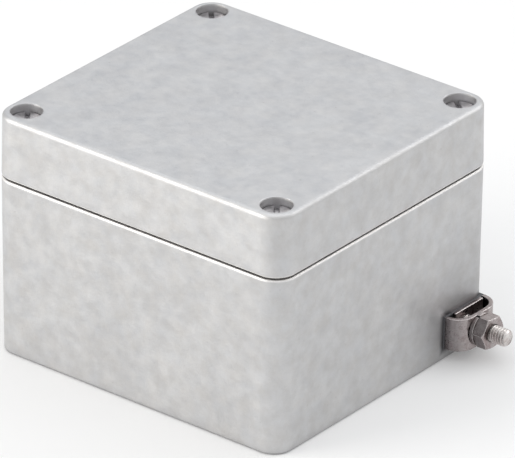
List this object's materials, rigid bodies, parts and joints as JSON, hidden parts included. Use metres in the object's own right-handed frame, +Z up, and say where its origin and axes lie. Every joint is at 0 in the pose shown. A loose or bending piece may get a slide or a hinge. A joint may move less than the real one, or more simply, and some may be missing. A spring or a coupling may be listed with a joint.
{
  "type": "die cast aluminium enclosure box",
  "caption": "Small die cast aluminium enclosure with a screwed, sealed lid, captive slotted corner screws and an outer earth terminal.",
  "frame": {"origin": "centre of the base's underside", "axes": "+X out of the wall with the outer earth terminal, +Y towards the back, +Z up through the lid"},
  "size_m": [0.0925, 0.075, 0.058],
  "materials": {
    "cast_aluminium": "as cast and shot blasted",
    "seal_rubber": "matt",
    "ring_plastic": "natural nylon",
    "screw_steel": "stainless steel, dulled",
    "terminal_steel": "nickel plated, slightly tarnished"
  },
  "bodies": {
    "case_base": {"base": "cast_aluminium", "earth_stud": "terminal_steel", "earth_back_plate": "terminal_steel"},
    "case_lid": {"lid": "cast_aluminium", "gasket": "seal_rubber"},
    "ring_front_left": {"retaining_ring_front_left": "ring_plastic"},
    "screw_front_left": {"lid_screw_front_left": "screw_steel"},
    "ring_front_right": {"retaining_ring_front_right": "ring_plastic"},
    "screw_front_right": {"lid_screw_front_right": "screw_steel"},
    "ring_back_right": {"retaining_ring_back_right": "ring_plastic"},
    "screw_back_right": {"lid_screw_back_right": "screw_steel"},
    "ring_back_left": {"retaining_ring_back_left": "ring_plastic"},
    "screw_back_left": {"lid_screw_back_left": "screw_steel"},
    "earth_clamp": {"earth_saddle": "terminal_steel", "earth_spring_washer": "terminal_steel"},
    "earth_nut": {"earth_nut": "terminal_steel"},
    "inner_clamp": {"inner_earth_clamp": "terminal_steel", "inner_earth_spring_washer": "terminal_steel"},
    "inner_screw": {"inner_earth_screw": "terminal_steel"}
  },
  "joints": [
    {"name": "lid_lift", "type": "slide", "parent": "case_base", "child": "case_lid", "axis": [0, 0, 1], "range_m": [0, 0.07]},
    {"name": "screw_front_left_travel", "type": "slide", "parent": "case_lid", "child": "ring_front_left", "axis": [0, 0, 1], "range_m": [0, 0.008]},
    {"name": "screw_front_left_turn", "type": "hinge", "parent": "ring_front_left", "child": "screw_front_left", "pos_m": [-0.0346, -0.032, 0.05], "axis": [0, 0, 1], "range_deg": [0, 4115]},
    {"name": "screw_front_right_travel", "type": "slide", "parent": "case_lid", "child": "ring_front_right", "axis": [0, 0, 1], "range_m": [0, 0.008]},
    {"name": "screw_front_right_turn", "type": "hinge", "parent": "ring_front_right", "child": "screw_front_right", "pos_m": [0.0346, -0.032, 0.05], "axis": [0, 0, 1], "range_deg": [0, 4115]},
    {"name": "screw_back_right_travel", "type": "slide", "parent": "case_lid", "child": "ring_back_right", "axis": [0, 0, 1], "range_m": [0, 0.008]},
    {"name": "screw_back_right_turn", "type": "hinge", "parent": "ring_back_right", "child": "screw_back_right", "pos_m": [0.0346, 0.032, 0.05], "axis": [0, 0, 1], "range_deg": [0, 4115]},
    {"name": "screw_back_left_travel", "type": "slide", "parent": "case_lid", "child": "ring_back_left", "axis": [0, 0, 1], "range_m": [0, 0.008]},
    {"name": "screw_back_left_turn", "type": "hinge", "parent": "ring_back_left", "child": "screw_back_left", "pos_m": [-0.0346, 0.032, 0.05], "axis": [0, 0, 1], "range_deg": [0, 4115]},
    {"name": "earth_clamp_travel", "type": "slide", "parent": "case_base", "child": "earth_clamp", "axis": [1, 0, 0], "range_m": [0, 0.003]},
    {"name": "earth_nut_turn", "type": "hinge", "parent": "earth_clamp", "child": "earth_nut", "pos_m": [0.0469, 0.0278, 0.00705], "axis": [1, 0, 0], "range_deg": [0, 1543]},
    {"name": "inner_clamp_travel", "type": "slide", "parent": "case_base", "child": "inner_clamp", "axis": [0, 0, 1], "range_m": [0, 0.0035]},
    {"name": "inner_screw_turn", "type": "hinge", "parent": "inner_clamp", "child": "inner_screw", "pos_m": [0.029, 0, 0.012], "axis": [0, 0, 1], "range_deg": [0, 1800]}
  ],
  "couplings": [
    {"joint": "screw_front_left_turn", "follows": "screw_front_left_travel", "rad_per_m": 8976},
    {"joint": "screw_front_right_turn", "follows": "screw_front_right_travel", "rad_per_m": 8976},
    {"joint": "screw_back_right_turn", "follows": "screw_back_right_travel", "rad_per_m": 8976},
    {"joint": "screw_back_left_turn", "follows": "screw_back_left_travel", "rad_per_m": 8976},
    {"joint": "earth_nut_turn", "follows": "earth_clamp_travel", "rad_per_m": 8976},
    {"joint": "inner_screw_turn", "follows": "inner_clamp_travel", "rad_per_m": 8976}
  ]
}
